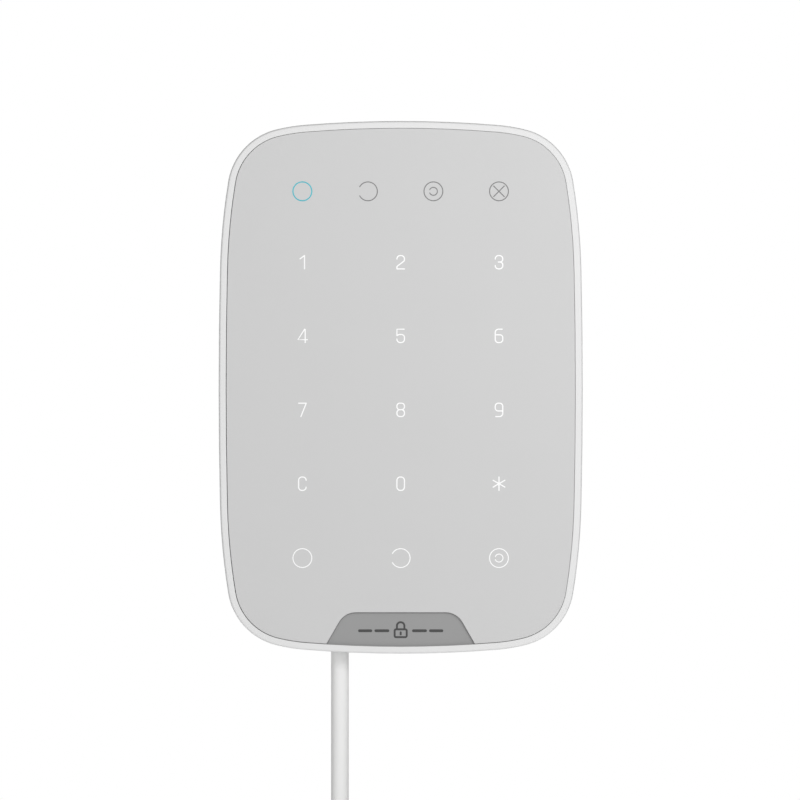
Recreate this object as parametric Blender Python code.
"""Touch keypad for a wired intruder alarm, hung on its wall bracket, with its bus cable.

The keypad faces -Y, +Z is up and the wall is the plane y = 0. Sizes are in millimetres and
are scaled to metres by MM. Places are written (x, depth, z), where depth is the distance
from the wall towards the person at the keys, so y = -depth.
"""

import math

import bmesh
import bpy
from mathutils import Vector

MM = 0.001
FIT = 0.3  # gap left between neighbouring pieces
STEP = 0.001  # rise between the two rings of a square shoulder on a turned piece

# Front outline: from the top centre to the middle of the right side, then mirrored.
# Each arc is (radius, degrees turned, steps).
OUTLINE_ARCS = (
    (336.4, 4.6, 1),
    (51.5, 9.2, 2),
    (18.1, 66.9, 10),
    (180.0, 8.0, 2),
    (1459.0, 1.3, 1),
)
CORNER_ARC = 2  # which of them is the corner

# Depths from the wall, back to front.
BACK_EDGE = 0.5
PLATE_FRONT = 1.8
FLOOR = (2.2, 3.8)
SEAM = (7.85, 8.15)
TONGUE_TOP = 9.25
BOARD = (9.55, 10.75)
LEDGE = (11.05, 12.05)
PANEL = (12.35, 13.75)
RIM_FRONT = 14.0

# Insets from the front outline.
RIM_WIDTH = 2.1
PANEL_INSET = RIM_WIDTH + FIT
WALL = 2.0
TONGUE = (WALL + 0.35, 3.5)
LEDGE_INSET = 3.9
RECESS_INSET = 3.4
PLATE_INSET = RECESS_INSET + 0.5
BOARD_INSET = 2.5

# Screw posts behind the corners, and the screws that close the case from the back.
POST_INSET = 6.2
POST_R = 3.2
POST_PLAY = 0.5
POST_BORE_TOP = 10.5
CASE_SCREW_R = 1.1
CASE_SCREW_HEAD_R = 2.15
CASE_SCREW_SINK_R = 2.5

# Rear housing's outside from the seam to the back edge, as (inset, depth).
BACK_PROFILE = ((0.12, SEAM[0]), (0.35, 4.6), (0.75, 2.4), (1.25, 1.1), (1.90, BACK_EDGE))

# Key field, shared by the light guide and its lamps.
KEY_COLUMNS = (-27.7, 0.0, 27.7)
KEY_ROWS = (35.3, 14.5, -6.3, -27.2, -48.0)
LOW_LAMP_Z = -39.0
STATUS_Z = 55.1
STATUS_COLUMNS = (-27.7, -9.23, 9.23, 27.7)

# Badge in the lower edge of the panel: a trapezium with rounded upper corners.
BADGE_TOP_Z = -63.4
BADGE_TOP_HALF = 15.8
BADGE_SLOPE = math.radians(30)
BADGE_CORNER = 5.5
BADGE_PLATE = (LEDGE[1] + FIT, 13.0)

# The case slides up the bracket by this much before its slots clear the hooks.
SLIDE = 6.5
SLOT_PLAY = (0.6, 0.5, 0.35)  # room round a hook: each side, below at full slide, above
HOOKS = ((-38.0, 45.0), (38.0, 45.0), (-38.0, -50.0), (38.0, -50.0))
HOOK_HALF = 4.0
HOOK_NECK = 2.0
HOOK_HEIGHT = 8.0
HOOK_LIP = (FLOOR[1] + 0.35, 5.55)

# Openings and stiffening pockets of the bracket, as (x, z) ranges.
BRACKET_WINDOW = ((-29.0, -5.4), (-51.0, -26.5))
SIDE_POCKETS = tuple(((x, x + 23.5), (z, z + 20.0)) for x in (-27.0, 3.5) for z in (6.0, 30.0))
TOP_POCKET = ((-14.0, 14.0), (54.0, 64.0))
POCKET_DEPTH = 0.7
POCKET_CORNER = 2.5
OPENING_CORNER = 3.0

# Wall screw holes in the bracket.
WALL_HOLES = ((-22.0, 58.0), (22.0, 58.0), (-38.0, -30.0), (38.0, -30.0))
WALL_HOLE_R = 2.2
WALL_HOLE_SINK_R = 4.0
WALL_HOLE_LAND = 0.6

# Tamper: a sprung plunger pressed by a sloping pad on the bracket's snap-off tab.
TAMPER_X = 22.0
TAMPER_Z = -38.0
PAD_LOW_Z = TAMPER_Z - 5.0
PAD_TOP = 2.9
PAD_SLOPE = 0.15
PLUNGER_R = 1.5
PLUNGER_TIP = PAD_TOP + FIT
PLUNGER_TOP = 8.0
PLUNGER_FLANGE = (3.9, 4.5)
PLUNGER_FLANGE_R = 2.5
SPRING_R = 2.05
SPRING_WIRE_R = 0.16
TAB_HALF = 7.0
TAB_Z = (-59.0, -28.0)
TAB_HOLE_Z = -51.5
TAB_SLIT = 1.2
TAB_BRIDGE = 1.5

# Retaining screw, upright in a pocket of the lower edge.
LOCK_DEPTH = 5.0
LOCK_FLANGE = (-72.5, -70.7)
LOCK_POCKET_TOP = -69.0
LOCK_SHANK_R = 1.3
LOCK_HEAD_R = 2.6
LOCK_HEAD = 2.2
LOCK_SHANK = 10.3
FLANGE_HALF = 6.2
FLANGE_REACH = 7.6
LOCK_BORE_TOP = -61.6
LOCK_BOSS = ((-8.4, 8.4), (FLOOR[1] - FIT, 8.75), (-72.1, -60.5))

# Cable and terminals.
CABLE_R = 2.5
CABLE_X = -17.16
CABLE_DEPTH = 4.6
CABLE_EXIT_Z = -73.8
SHEATH_END_Z = -57.0
CORE_R = 0.6
CORE_OFFSET = 0.95
CORE_COLOURS = ("red", "black", "yellow", "green")
TERMINAL_PITCH = 3.5
TERMINAL_HALF = 7.4
TERMINAL_Z = (-39.0, -31.0)
TERMINAL_DEPTH = (2.5, BOARD[0] - FIT)
ENTRY_DEPTH = 7.4
TIE_Z = -67.5
TROUGH_HALF = 3.7
TROUGH_FLOOR = (7.45, 8.4)
TROUGH_Z = (-71.9, -58.0)
HOUSING_WINDOW = ((-29.0, -5.4), (-60.0, -27.0))
BRACKET_NOTCH = ((CABLE_X - 7.0, CABLE_X + 8.2), (-80.0, -56.0))

# Parts soldered to the back of the board: (x, z), then half widths or a radius, and height.
SOUNDER = ((24.0, 28.0), 7.0, 3.2)
CAPACITOR = ((-34.0, -16.0), 3.1, 4.6)
FLAT_PARTS = {
    "main_controller": ((0.0, 12.0), (4.5, 4.5), 1.0),
    "touch_controller": ((0.0, 40.0), (3.5, 3.5), 0.9),
    "bus_transceiver": ((-17.0, -19.0), (2.0, 2.5), 1.5),
    "surge_suppressor": ((-26.0, -20.0), (1.4, 2.2), 2.0),
    "power_inductor": ((-5.0, -14.0), (3.0, 3.0), 2.8),
}
SWITCH_HALF = 3.5
SWITCH_HEIGHT = 1.85
LAMP_HALF = (1.4, 1.0)
LAMP_ROOM = 0.5
LAMP_HEIGHT = 0.7

# Spare cable: a coil with its axis along Y, hanging from the straight drop beside the wall.
TURN_PITCH = 5.15
COIL_R = 27.65  # middle layer of turns
COIL_Z = -157.0
COIL_X = CABLE_X + COIL_R + TURN_PITCH
FIRST_ROW = 4.0
COIL_HALF = TURN_PITCH + CABLE_R + 0.1
COIL_TOP_Z = -137.7  # where the straight drop gives way to the turns
END_ROW = FIRST_ROW + 3 * TURN_PITCH + 0.2
END_FROM = 250.0
END_TO = 338.0
FAR_CORE_LENGTH = 25.0

# How far a cutter may reach: right through everything, or through the floor alone.
THROUGH = (-1.0, 20.0)
THROUGH_FLOOR = (-1.0, 5.0)


# ---------------------------------------------------------------- modelling helpers


def at(x, depth, z):
    return Vector((x, -depth, z)) * MM


def material(name, colour, roughness, metallic=0.0):
    made = bpy.data.materials.new(name)
    made.use_nodes = True
    shader = made.node_tree.nodes["Principled BSDF"]
    shader.inputs["Base Color"].default_value = (*colour, 1.0)
    shader.inputs["Roughness"].default_value = roughness
    shader.inputs["Metallic"].default_value = metallic
    return made


def loft(name, loops, finish=None, closed=False):
    """A solid through loops of points. closed joins the last loop to the first."""
    mesh = bmesh.new()
    rings = [[mesh.verts.new(p) for p in loop] for loop in loops]
    followers = rings[1:] + rings[:1] if closed else rings[1:]
    for ring, after in zip(rings, followers):
        for i in range(len(ring)):
            j = (i + 1) % len(ring)
            mesh.faces.new((ring[i], ring[j], after[j], after[i]))
    if not closed:
        mesh.faces.new(rings[0])
        mesh.faces.new(rings[-1])
    bmesh.ops.recalc_face_normals(mesh, faces=mesh.faces)
    data = bpy.data.meshes.new(name)
    mesh.to_mesh(data)
    mesh.free()
    made = bpy.data.objects.new(name, data)
    bpy.context.scene.collection.objects.link(made)
    if finish:
        data.materials.append(finish)
        data.shade_smooth()
        data.set_sharp_from_angle(angle=math.radians(35))
    return made


def slab(name, outline, back, front, finish=None):
    """A flat (x, z) outline made solid between two depths."""
    return loft(name, [[at(x, d, z) for x, z in outline] for d in (back, front)], finish)


def block(name, x, depth, z, finish=None):
    """A box from (low, high) pairs."""
    outline = ((x[0], z[0]), (x[1], z[0]), (x[1], z[1]), (x[0], z[1]))
    return slab(name, outline, depth[0], depth[1], finish)


def span(centre, half):
    return (centre - half, centre + half)


def rounded_box(x, z, radius, steps=4):
    """Outline of a rectangle with rounded corners."""
    points = []
    corners = ((x[1], z[1], 0), (x[0], z[1], 90), (x[0], z[0], 180), (x[1], z[0], 270))
    for cx, cz, start in corners:
        inward_x = cx - math.copysign(radius, cx - sum(x) / 2)
        inward_z = cz - math.copysign(radius, cz - sum(z) / 2)
        for k in range(steps + 1):
            a = math.radians(start + 90 * k / steps)
            points.append((inward_x + radius * math.cos(a), inward_z + radius * math.sin(a)))
    return points


def circle(radius, height, sides):
    turns = [2 * math.pi * k / sides for k in range(sides)]
    return [Vector((radius * math.cos(a), radius * math.sin(a), height)) * MM for a in turns]


def turned(name, profile, sides, finish=None):
    """A solid turned about its own Z from (radius, height) steps, lowest first."""
    return loft(name, [circle(r, h, sides) for r, h in profile], finish)


def facing_wall(piece, x, depth, z):
    """Puts a turned piece at a place with its own +Z pointing at the wall."""
    piece.location = at(x, depth, z)
    piece.rotation_euler = (-math.pi / 2, 0, 0)
    return piece


def drill(x, z, radius, back, front, sides=20):
    """A round cutter along the depth."""
    made = turned("cutter", ((radius, -front), (radius, -back)), sides)
    return facing_wall(made, x, 0, z)


def boolean(target, tool, operation):
    step = target.modifiers.new(operation.lower(), "BOOLEAN")
    step.operation = operation
    step.object = tool
    tool.name = "tool_" + target.name
    tool.hide_render = True
    tool.display_type = "WIRE"


def cut(target, *tools):
    for tool in tools:
        boolean(target, tool, "DIFFERENCE")


def add(target, *tools):
    for tool in tools:
        boolean(target, tool, "UNION")


def tube(name, points, radius, finish, sides=2):
    """A curve with a round bevel and filled caps through points in metres."""
    data = bpy.data.curves.new(name, "CURVE")
    data.dimensions = "3D"
    data.bevel_depth = radius * MM
    data.bevel_resolution = sides
    data.use_fill_caps = True
    line = data.splines.new("POLY")
    line.points.add(len(points) - 1)
    for point, place in zip(line.points, points):
        point.co = (*place, 1.0)
    data.materials.append(finish)
    made = bpy.data.objects.new(name, data)
    bpy.context.scene.collection.objects.link(made)
    return made


def smooth(t):
    t = min(1.0, max(0.0, t))
    return t * t * (3 - 2 * t)


def cross_arms(long, short):
    """The half sizes of the two bars of a cross recess."""
    return (long, short), (short, long)


def body(name, parent=None):
    """An empty that stands for one moving body."""
    made = bpy.data.objects.new(name, None)
    bpy.context.scene.collection.objects.link(made)
    made.parent = parent
    return made


def put_in(parent, *pieces):
    for piece in pieces:
        piece.parent = parent


# ---------------------------------------------------------------- outlines


def quarter(inset):
    """The outline's upper right quarter, parallel to itself at an inset, as (x, z)."""
    headings = [0.0]
    radii = []
    for radius, degrees, steps in OUTLINE_ARCS:
        for _ in range(steps):
            radii.append(radius - inset)
            headings.append(headings[-1] + math.radians(degrees) / steps)
    x, z = 0.0, 0.0
    points = [(x, z)]
    for radius, start, end in zip(radii, headings, headings[1:]):
        x += radius * (math.sin(end) - math.sin(start))
        z -= radius * (math.cos(start) - math.cos(end))
        points.append((x, z))
    return [(px, pz - z) for px, pz in points]


def outline(inset, lift=0.0):
    """The whole outline at an inset, as (x, z) points in order."""
    first = quarter(inset)
    right = first + [(x, -z) for x, z in first[-2::-1]]
    whole = right + [(-x, z) for x, z in right[-2:0:-1]]
    return [(x, z + lift) for x, z in whole]


def corner_points(inset):
    """The middle of each corner arc at an inset."""
    steps = [arc[2] for arc in OUTLINE_ARCS]
    middle = sum(steps[:CORNER_ARC]) + steps[CORNER_ARC] // 2
    x, z = quarter(inset)[middle]
    return [(-x, z), (x, z), (-x, -z), (x, -z)]


def badge_outline(shrink):
    """The badge's trapezium, run down past the lower edge, moved in on all sides."""
    top = BADGE_TOP_Z - shrink
    side = shrink / math.cos(BADGE_SLOPE) - shrink * math.tan(BADGE_SLOPE)
    half = BADGE_TOP_HALF - side
    radius = BADGE_CORNER - shrink
    turn = math.pi / 2 - BADGE_SLOPE
    flat = half - radius * math.tan(turn / 2)
    low = -90.0
    right = [
        (flat + radius * math.sin(turn * k / 6), top - radius * (1 - math.cos(turn * k / 6)))
        for k in range(7)
    ]
    right.append((half + (top - low) * math.tan(BADGE_SLOPE), low))
    return right + [(-x, z) for x, z in right[::-1]]


def around(profile):
    """Loops that carry an (inset, depth) profile round the outline."""
    return [[at(x, d, z) for x, z in outline(inset)] for inset, d in profile]


# ---------------------------------------------------------------- wall bracket


def wall_bracket(finish):
    plate = slab("mounting_bracket", outline(PLATE_INSET), 0, PLATE_FRONT, finish)
    risen = slab("tool", outline(PLATE_INSET, SLIDE + 0.2), *THROUGH)
    boolean(plate, risen, "INTERSECT")
    neck_z = (LOCK_FLANGE[0], LOCK_BOSS[2][1])
    add(
        plate,
        block("neck", span(0, FLANGE_HALF), (0, PLATE_FRONT), neck_z),
        block("flange", span(0, FLANGE_HALF), (0, FLANGE_REACH), LOCK_FLANGE),
        *[hook(x, z) for x, z in HOOKS],
        tamper_pad(),
    )
    reach = 3.0
    lock_hole = turned("cutter", ((LOCK_SHANK_R + FIT, -reach), (LOCK_SHANK_R + FIT, reach)), 16)
    lock_hole.location = at(0, LOCK_DEPTH, sum(LOCK_FLANGE) / 2)
    cut(plate, lock_hole)
    cut_bracket_openings(plate)
    cut_tab_slits(plate)
    return plate


def hook(x, z):
    """An L-shaped hook, its foot sunk in the plate and its lip pointing up."""
    foot = PLATE_FRONT - 0.5
    outer = ((z, foot), (z, HOOK_LIP[1]), (z + HOOK_HEIGHT, HOOK_LIP[1]))
    inner = ((z + HOOK_HEIGHT, HOOK_LIP[0]), (z + HOOK_NECK, HOOK_LIP[0]), (z + HOOK_NECK, foot))
    sides = [[at(x + s * HOOK_HALF, d, hz) for hz, d in outer + inner] for s in (-1, 1)]
    return loft("hook", sides)


def tamper_pad():
    """The wedge that holds the plunger in, falling away at PAD_SLOPE as the case rises."""
    foot = PLATE_FRONT - 0.3
    half_width = 2.6
    ramp_start = TAMPER_Z - PLUNGER_R
    ramp_end = ramp_start + (PAD_TOP - foot) / PAD_SLOPE
    side = ((PAD_LOW_Z, foot), (PAD_LOW_Z, PAD_TOP), (ramp_start, PAD_TOP), (ramp_end, foot))
    loops = [[at(TAMPER_X + s * half_width, d, z) for z, d in side] for s in (-1, 1)]
    return loft("pad", loops)


def cut_bracket_openings(plate):
    for opening in (BRACKET_WINDOW, BRACKET_NOTCH):
        cut(plate, slab("opening", rounded_box(*opening, OPENING_CORNER), *THROUGH_FLOOR))
    for x, z in WALL_HOLES + ((TAMPER_X, TAB_HOLE_Z),):
        hole = (
            (WALL_HOLE_SINK_R, -PLATE_FRONT - 1),
            (WALL_HOLE_SINK_R, -PLATE_FRONT),
            (WALL_HOLE_R, -WALL_HOLE_LAND),
            (WALL_HOLE_R, 1),
        )
        cut(plate, facing_wall(turned("cutter", hole, 20), x, 0, z))
    for pocket in SIDE_POCKETS + (TOP_POCKET,):
        cut(plate, slab("pocket", rounded_box(*pocket, POCKET_CORNER), -1, POCKET_DEPTH))


def cut_tab_slits(plate):
    """Slits round the tamper tab, which leave a thin bridge in the middle of each side."""
    bridge, middle = TAB_BRIDGE / 2, sum(TAB_Z) / 2
    for side in (-1, 1):
        edge = span(TAMPER_X + side * TAB_HALF, TAB_SLIT / 2)
        for half in ((TAB_Z[0], middle - bridge), (middle + bridge, TAB_Z[1])):
            cut(plate, block("slit", edge, THROUGH_FLOOR, half))
        ends = sorted((TAMPER_X + side * bridge, TAMPER_X + side * (TAB_HALF - TAB_BRIDGE)))
        for z in TAB_Z:
            cut(plate, block("slit", ends, THROUGH_FLOOR, span(z, TAB_SLIT / 2)))


def retaining_screw(finish):
    """Upright, with its head below the flange and its origin under the head's face."""
    chamfer, point = 0.5, 1.0
    profile = (
        (LOCK_HEAD_R - chamfer, -LOCK_HEAD),
        (LOCK_HEAD_R, -LOCK_HEAD + chamfer + 0.1),
        (LOCK_HEAD_R, 0),
        (LOCK_SHANK_R, STEP),
        (LOCK_SHANK_R, LOCK_SHANK - point),
        (chamfer, LOCK_SHANK),
    )
    made = turned("retaining_screw", profile, 16, finish)
    made.location = at(0, LOCK_DEPTH, LOCK_FLANGE[0] - FIT)
    for x, y in cross_arms(1.7, 0.35):
        arm = block("recess", span(0, x), span(0, y), span(-LOCK_HEAD, 1.0))
        arm.location = made.location
        cut(made, arm)
    return made


# ---------------------------------------------------------------- case shells


def front_frame(finish):
    """Rim, side wall and ledge as one section, with the badge's shelf and the screw posts."""
    profile = (
        (0.10, SEAM[1]),
        (0.00, RIM_FRONT - 0.55),
        (0.15, RIM_FRONT - 0.15),
        (0.50, RIM_FRONT),
        (RIM_WIDTH - 0.1, RIM_FRONT),
        (RIM_WIDTH, RIM_FRONT - 0.1),
        (RIM_WIDTH, LEDGE[1]),
        (LEDGE_INSET, LEDGE[1]),
        (LEDGE_INSET, LEDGE[0]),
        (WALL, LEDGE[0]),
        (WALL, SEAM[1]),
    )
    made = loft("front_frame", around(profile), finish, closed=True)
    sunk = 0.1
    shelf = slab("shelf", badge_outline(-1.2), LEDGE[0] + sunk, LEDGE[1] - sunk)
    boolean(shelf, slab("tool", outline(LEDGE_INSET - 0.9), *THROUGH), "INTERSECT")
    add(made, shelf)
    for x, z in corner_points(POST_INSET):
        add(made, drill(x, z, POST_R, FLOOR[1] + POST_PLAY, LEDGE[1] - sunk))
        cut(made, drill(x, z, CASE_SCREW_R + FIT, 0, POST_BORE_TOP, 12))
    return made


def rear_housing(finish):
    """Floor, tongue and curved side wall as one section, with its boss and trough."""
    profile = (
        (TONGUE[1], FLOOR[1]),
        (TONGUE[1], TONGUE_TOP),
        (TONGUE[0], TONGUE_TOP),
        (TONGUE[0], SEAM[0]),
        *BACK_PROFILE,
        (RECESS_INSET - 0.1, BACK_EDGE),
        (RECESS_INSET, BACK_EDGE + 0.1),
        (RECESS_INSET, FLOOR[0]),
    )
    made = loft("rear_housing", around(profile), finish)
    wall = 1.3
    trough_depth = (FLOOR[1] - FIT, TROUGH_FLOOR[1])
    add(
        made,
        block("trough", span(CABLE_X, TROUGH_HALF + wall), trough_depth, TROUGH_Z),
        block("lock_boss", *LOCK_BOSS),
    )
    cut_cable_way(made)
    cut_lock_pocket(made)
    for x, z in HOOKS:
        slot = (z - SLIDE - SLOT_PLAY[1], z + HOOK_NECK + SLOT_PLAY[2])
        cut(made, block("hook_slot", span(x, HOOK_HALF + SLOT_PLAY[0]), THROUGH_FLOOR, slot))
    tamper_slot = (PAD_LOW_Z - SLIDE - 0.7, TAMPER_Z + 7.0)
    cut(made, block("tamper_slot", span(TAMPER_X, 3.3), THROUGH_FLOOR, tamper_slot))
    hole_r, sink_r = CASE_SCREW_R + FIT, CASE_SCREW_SINK_R
    for x, z in corner_points(POST_INSET):
        sink = ((hole_r, -6), (hole_r, -3.5), (sink_r, -FLOOR[0]), (sink_r, -1))
        cut(made, drill(x, z, POST_R + 1.1, FLOOR[1] + 0.2, TONGUE_TOP + 1))
        cut(made, facing_wall(turned("cutter", sink, 16), x, 0, z))
    return made


def cut_cable_way(housing):
    """The U notch in the lower edge, the trough with its tie slots, and the wiring window."""
    notch_r = CABLE_R + FIT
    arch = [
        (
            CABLE_X + notch_r * math.cos(math.radians(a)),
            CABLE_DEPTH + notch_r * math.sin(math.radians(a)),
        )
        for a in range(0, 181, 18)
    ]
    arch = [(CABLE_X + notch_r, -1)] + arch + [(CABLE_X - notch_r, -1)]
    cut(housing, loft("notch", [[at(x, d, z) for x, d in arch] for z in (-80, -71)]))
    cut(
        housing,
        block("channel", span(CABLE_X, TROUGH_HALF), (-1, TROUGH_FLOOR[0]), (-71.4, -55)),
        slab("window", rounded_box(*HOUSING_WINDOW, OPENING_CORNER), *THROUGH_FLOOR),
        block("tie_head", (CABLE_X + 3, CABLE_X + 7.9), THROUGH_FLOOR, span(TIE_Z, 2.6)),
    )
    for side in (-1, 1):
        slot = span(CABLE_X + side * 3.05, 0.6)
        cut(housing, block("tie_slot", slot, (6, 9), span(TIE_Z, 1.6)))


def cut_lock_pocket(housing):
    """The pocket that takes the flange, and the bore above it that takes the screw."""
    cut(housing, block("pocket", span(0, FLANGE_HALF + 0.8), (-1, 8.0), (-80, LOCK_POCKET_TOP)))
    bore = ((LOCK_SHANK_R + FIT, LOCK_POCKET_TOP - 1), (LOCK_SHANK_R + FIT, LOCK_BORE_TOP))
    hole = turned("cutter", bore, 16)
    hole.location = at(0, LOCK_DEPTH, 0)
    cut(housing, hole)


def case_screws(finish):
    """Countersunk screws, each from a point in its post to a head below the housing's back."""
    made = []
    profile = (
        (0.3, -9.8),
        (CASE_SCREW_R, -8.8),
        (CASE_SCREW_R, -3.45),
        (CASE_SCREW_HEAD_R, -2.45),
        (CASE_SCREW_HEAD_R, -2.3),
    )
    for number, (x, z) in enumerate(corner_points(POST_INSET), 1):
        screw = turned(f"case_screw_{number}", profile, 14, finish)
        facing_wall(screw, x, 0, z)
        for half in cross_arms(1.4, 0.3):
            arm = block("recess", span(x, half[0]), (2, 2.9), span(z, half[1]))
            cut(screw, arm)
        made.append(screw)
    return made


# ---------------------------------------------------------------- front layers


def touch_panel(finish):
    edge = 0.15
    profile = (
        (PANEL_INSET, PANEL[0]),
        (PANEL_INSET, PANEL[1] - edge),
        (PANEL_INSET + edge, PANEL[1]),
    )
    made = loft("touch_panel", around(profile), finish)
    cut(made, slab("badge_gap", badge_outline(0), PANEL[0] - 1, PANEL[1] + 1))
    return made


def badge_plate(finish):
    made = slab("badge_plate", badge_outline(FIT), BADGE_PLATE[0], BADGE_PLATE[1], finish)
    inside = slab("tool", outline(PANEL_INSET), *THROUGH)
    boolean(made, inside, "INTERSECT")
    return made


def light_guide(finish):
    made = slab("light_guide", outline(LEDGE_INSET + 0.4), LEDGE[0], LEDGE[1], finish)
    cut(made, slab("badge_gap", badge_outline(-1.8), *THROUGH))
    for x, z in corner_points(POST_INSET):
        cut(made, drill(x, z, POST_R + POST_PLAY, *THROUGH))
    half_x, half_z = LAMP_HALF
    for x, z in lamp_places():
        hole = (span(x, half_x + LAMP_ROOM), THROUGH, span(z, half_z + LAMP_ROOM))
        cut(made, block("lamp_hole", *hole))
    return made


def main_board(finish):
    made = slab("main_board", outline(BOARD_INSET), BOARD[0], BOARD[1], finish)
    for x, z in corner_points(POST_INSET):
        cut(made, drill(x, z, POST_R + POST_PLAY, *THROUGH))
    return made


def lamp_places():
    """Lamps under the four status marks and between the key rows."""
    status = [(x, STATUS_Z) for x in STATUS_COLUMNS]
    between = [(a + b) / 2 for a, b in zip(KEY_ROWS[::2], KEY_ROWS[1::2])]
    keys = [(x, z) for z in between + [LOW_LAMP_Z] for x in KEY_COLUMNS[::2]]
    return status + keys


def lamps(finish):
    names = [f"status_led_{n}" for n in range(1, 5)] + [f"backlight_led_{n}" for n in range(1, 7)]
    depth = (BOARD[1] + FIT, BOARD[1] + FIT + LAMP_HEIGHT)
    return [
        block(name, span(x, LAMP_HALF[0]), depth, span(z, LAMP_HALF[1]), finish)
        for name, (x, z) in zip(names, lamp_places())
    ]


# ---------------------------------------------------------------- board parts


def on_board(height):
    """Depths of a part of this height soldered to the back of the board."""
    near = BOARD[0] - FIT
    return (near - height, near)


def board_parts(chip, metal, ceramic):
    """The sounder with its sound hole, the capacitor's can, and the flat packages."""
    made = [can("sounder", SOUNDER, 24, chip), can("input_capacitor", CAPACITOR, 16, metal)]
    (x, z), _, height = SOUNDER
    back = on_board(height)[0]
    cut(made[0], drill(x, z, 1.0, back - 1, back + 1, 12))
    for name, ((x, z), (half_x, half_z), height) in FLAT_PARTS.items():
        finish = ceramic if name == "power_inductor" else chip
        made.append(block(name, span(x, half_x), on_board(height), span(z, half_z), finish))
    return made


def can(name, size, sides, finish):
    (x, z), radius, height = size
    back, front = on_board(height)
    return facing_wall(turned(name, ((radius, -front), (radius, -back)), sides, finish), x, 0, z)


def terminal_places():
    return [CABLE_X + TERMINAL_PITCH * (k - 1.5) for k in range(4)]


def terminal_block(finish):
    width = span(CABLE_X, TERMINAL_HALF)
    made = block("terminal_block", width, TERMINAL_DEPTH, TERMINAL_Z, finish)
    low, middle = TERMINAL_Z[0], sum(TERMINAL_Z) / 2
    screw_hole_r, screw_hole_floor, entry_half = 1.55, 5.9, 1.3
    for x in terminal_places():
        cut(made, drill(x, middle, screw_hole_r, 0, screw_hole_floor, 14))
        entry = (span(x, entry_half), span(ENTRY_DEPTH, entry_half - 0.1), (low - 1, low + 5))
        cut(made, block("entry", *entry))
    return made


def clamp_screws(finish):
    """Short slotted screws, their heads a little below the block's back."""
    made = []
    profile = ((0.9, -2.6), (1.25, -2.3), (1.25, -0.2), (1.05, 0))
    head_depth = TERMINAL_DEPTH[0] + 0.6
    for number, x in enumerate(terminal_places(), 1):
        screw = turned(f"clamp_screw_{number}", profile, 14, finish)
        facing_wall(screw, x, head_depth, sum(TERMINAL_Z) / 2)
        slit = block("slit", (-1.5, 1.5), (-0.5, 0.5), (-0.22, 0.22))
        slit.location = screw.location
        cut(screw, slit)
        made.append(screw)
    return made


def tamper_pieces(chip, plastic, steel):
    """The switch on the board, its plunger, and the spring between them."""
    face = on_board(SWITCH_HEIGHT)
    body_size = (span(TAMPER_X, SWITCH_HALF), face, span(TAMPER_Z, SWITCH_HALF))
    switch = block("tamper_switch", *body_size, chip)
    well_floor = face[1] - 0.55
    cut(switch, drill(TAMPER_X, TAMPER_Z, PLUNGER_R + FIT, 0, well_floor, 14))
    back, front = PLUNGER_FLANGE
    profile = (
        (PLUNGER_R, -PLUNGER_TOP),
        (PLUNGER_R, -front),
        (PLUNGER_FLANGE_R, -front + STEP),
        (PLUNGER_FLANGE_R, -back),
        (PLUNGER_R, -back + STEP),
        (PLUNGER_R, -PLUNGER_TIP - 0.5),
        (0.9, -PLUNGER_TIP),
    )
    plunger = turned("tamper_plunger", profile, 14, plastic)
    facing_wall(plunger, TAMPER_X, 0, TAMPER_Z)
    return switch, plunger, spring(front + FIT, face[0] - FIT, steel)


def spring(back, front, steel):
    """Three turns of wire round the plunger, between its flange and the switch."""
    turns, steps = 3, 12
    low, high = back + SPRING_WIRE_R, front - SPRING_WIRE_R
    points = []
    for k in range(turns * steps + 1):
        a = 2 * math.pi * k / steps
        depth = low + (high - low) * k / (turns * steps)
        across, up = SPRING_R * math.cos(a), SPRING_R * math.sin(a)
        points.append(at(TAMPER_X + across, depth, TAMPER_Z + up))
    return tube("tamper_spring", points, SPRING_WIRE_R, steel, 1)


# ---------------------------------------------------------------- cable inside the case


def core_offsets():
    return [(sx * CORE_OFFSET, sd * CORE_OFFSET) for sx, sd in ((-1, -1), (-1, 1), (1, -1), (1, 1))]


def inner_cable(sheath, cores, nylon):
    ends = (SHEATH_END_Z, CABLE_EXIT_Z + FIT)
    tail = tube("cable_tail", [at(CABLE_X, CABLE_DEPTH, z) for z in ends], CABLE_R, sheath, 3)
    wires = []
    start, stop = SHEATH_END_Z + FIT, TERMINAL_Z[0] + 3.5
    fan_from, fan_to = start + 2, TERMINAL_Z[0] - 2
    for colour, (dx, dd), x_end in zip(CORE_COLOURS, core_offsets(), terminal_places()):
        points = []
        for k in range(15):
            z = start + (stop - start) * k / 14
            t = smooth((z - fan_from) / (fan_to - fan_from))
            x = CABLE_X + dx + (x_end - CABLE_X - dx) * t
            depth = CABLE_DEPTH + dd + (ENTRY_DEPTH - CABLE_DEPTH - dd) * t
            points.append(at(x, depth, z))
        wires.append(tube(f"core_{colour}", points, CORE_R, cores[colour]))
    return [tail, *wires, cable_tie(nylon)]


def cable_tie(nylon):
    """The strap that holds the sheath down on the trough floor."""
    thick, corner = 0.55, 0.5
    inner_x, inner_d = span(CABLE_X, CABLE_R + 0.32), (1.8, TROUGH_FLOOR[1] + 0.25)
    inner = rounded_box(inner_x, inner_d, corner, 3)
    outer_x = (inner_x[0] - thick, inner_x[1] + thick)
    outer = rounded_box(outer_x, (inner_d[0] - thick, inner_d[1] + thick), corner + thick, 3)
    z = span(TIE_Z, 1.2)
    loops = [[at(x, d, h) for x, d in path] for path, h in strap_section(inner, outer, z)]
    made = loft("cable_tie", loops, nylon, closed=True)
    add(made, block("head", (CABLE_X + 3.1, CABLE_X + 7.2), (1.4, 4.4), span(TIE_Z, 1.9)))
    return made


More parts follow.
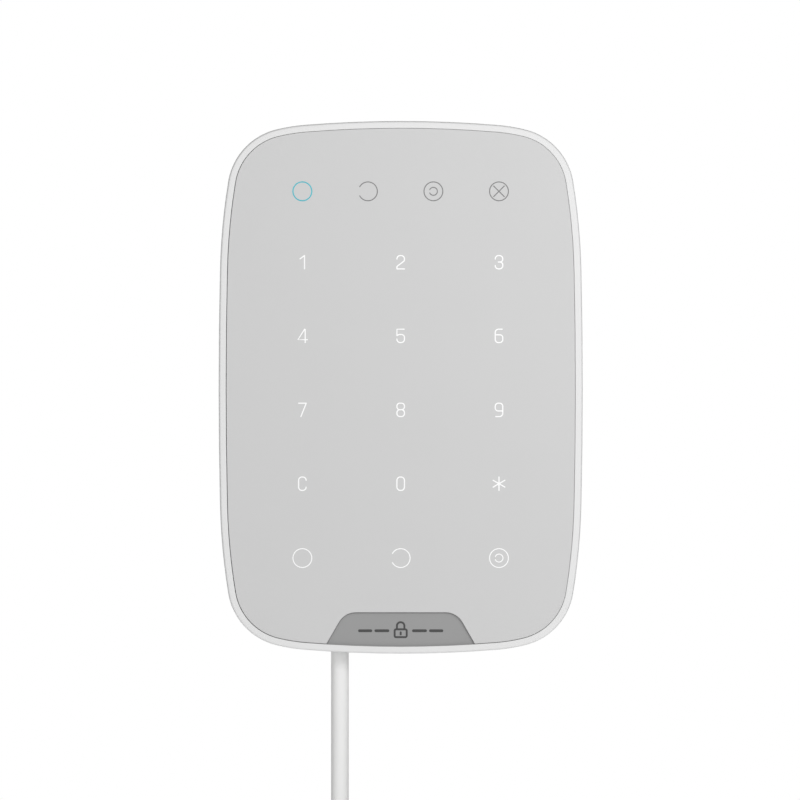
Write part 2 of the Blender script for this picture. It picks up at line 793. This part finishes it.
def strap_section(inner, outer, ends):
    """The four edges of a flat strap, in order round its section."""
    return ((inner, ends[0]), (outer, ends[0]), (outer, ends[1]), (inner, ends[1]))


# ---------------------------------------------------------------- free cable and coil


def on_coil(radius, degrees, depth):
    a = math.radians(degrees)
    return at(COIL_X + radius * math.cos(a), depth, COIL_Z + radius * math.sin(a))


def cable_drop(sheath):
    """The straight drop below the keypad, easing back to the wall before the coil."""
    points = []
    for k in range(7):
        z = CABLE_EXIT_Z + (COIL_TOP_Z - CABLE_EXIT_Z) * k / 6
        ease = smooth((-100 - z) / 45)
        points.append(at(CABLE_X, CABLE_DEPTH + (FIRST_ROW - CABLE_DEPTH) * ease, z))
    return tube("cable_drop", points, CABLE_R, sheath, 3)


def cable_coil(sheath):
    """The outer shape of eight turns, three deep, as one ring."""
    middle = FIRST_ROW + TURN_PITCH
    section = rounded_box(span(0, COIL_HALF), span(0, COIL_HALF), CABLE_R, 1)
    loops = [
        [on_coil(COIL_R + r, degrees, middle + d) for r, d in section]
        for degrees in range(0, 360, 9)
    ]
    return loft("cable_coil", loops, sheath, closed=True)


def coil_tie(nylon):
    """The strap round all the turns, where the drop meets the coil."""
    thick, gap = 0.8, COIL_HALF + FIT + 0.1
    middle = FIRST_ROW + TURN_PITCH
    x = COIL_X - COIL_R
    inner = rounded_box(span(x, gap), span(middle, gap), CABLE_R, 3)
    outer = rounded_box(span(x, gap + thick), span(middle, gap + thick), CABLE_R + thick, 3)
    strap = strap_section(inner, outer, span(COIL_Z, 1.3))
    loops = [[at(px, d, h) for px, d in path] for path, h in strap]
    made = loft("coil_tie", loops, nylon, closed=True)
    face = middle + gap
    add(made, block("head", span(x, 2.3), (face + 0.1, face + 3.6), span(COIL_Z, 2.2)))
    return made


def cable_end(sheath, cores):
    """The last of the sheath, laid over the front of the coil, and its stripped cores."""
    steps = 11
    angles = [END_FROM + (END_TO - END_FROM) * k / steps for k in range(steps + 1)]
    pieces = [tube("cable_end", [on_coil(COIL_R, a, END_ROW) for a in angles], CABLE_R, sheath, 3)]
    start = on_coil(COIL_R, END_TO, END_ROW)
    a = math.radians(END_TO)
    along = Vector((-math.sin(a), 0, math.cos(a)))
    outward = Vector((math.cos(a), 0, math.sin(a)))
    for colour, (out, front) in zip(CORE_COLOURS, core_offsets()):
        points = []
        for k in range(9):
            run = FIT + FAR_CORE_LENGTH * k / 8
            spread = 1 + 2.6 * smooth(run / FAR_CORE_LENGTH)
            bow = 3.0 * (run / FAR_CORE_LENGTH) ** 2
            ahead = front * (1 + 0.6 * smooth(run / FAR_CORE_LENGTH))
            place = along * run + outward * (out * spread - bow) + Vector((0, -ahead, 0))
            points.append(start + place * MM)
        pieces.append(tube(f"far_core_{colour}", points, CORE_R, cores[colour]))
    return pieces


# ---------------------------------------------------------------- assembly


def main():
    for old in list(bpy.data.objects):
        bpy.data.objects.remove(old)

    white = material("white_abs", (0.86, 0.86, 0.86), 0.45)
    bracket_white = material("bracket_abs", (0.80, 0.80, 0.79), 0.55)
    grey = material("panel_grey", (0.62, 0.62, 0.62), 0.25)
    badge_grey = material("badge_grey", (0.34, 0.34, 0.34), 0.4)
    clear = material("light_guide_acrylic", (0.9, 0.9, 0.92), 0.2)
    board_green = material("board_green", (0.03, 0.20, 0.10), 0.4)
    chip = material("chip_black", (0.03, 0.03, 0.03), 0.5)
    steel = material("screw_steel", (0.6, 0.6, 0.6), 0.3, 1.0)
    ferrite = material("ferrite_grey", (0.15, 0.15, 0.16), 0.6)
    terminal_green = material("terminal_green", (0.05, 0.35, 0.15), 0.45)
    sheath = material("cable_pvc_white", (0.85, 0.85, 0.84), 0.45)
    nylon = material("tie_nylon", (0.80, 0.80, 0.76), 0.4)
    lamp = material("lamp_lens", (0.9, 0.9, 0.7), 0.3)
    core_rgb = ((0.6, 0.03, 0.03), (0.02, 0.02, 0.02), (0.75, 0.6, 0.04), (0.04, 0.4, 0.08))
    cores = {c: material(f"core_{c}", rgb, 0.4) for c, rgb in zip(CORE_COLOURS, core_rgb)}

    wall_side = body("wall_side")
    lock = body("lock_screw", wall_side)
    case = body("keypad_case", wall_side)
    tamper = body("tamper_slider", case)

    put_in(wall_side, wall_bracket(bracket_white))
    put_in(lock, retaining_screw(steel))
    put_in(case, front_frame(white), rear_housing(white), *case_screws(steel))
    put_in(case, touch_panel(grey), badge_plate(badge_grey), light_guide(clear))
    put_in(case, main_board(board_green), *lamps(lamp), *board_parts(chip, steel, ferrite))
    put_in(case, terminal_block(terminal_green), *clamp_screws(steel))
    switch, plunger, spring = tamper_pieces(chip, white, steel)
    put_in(case, switch, spring)
    put_in(tamper, plunger)
    put_in(case, *inner_cable(sheath, cores, nylon))
    put_in(case, cable_drop(sheath), cable_coil(sheath), coil_tie(nylon))
    put_in(case, *cable_end(sheath, cores))


main()
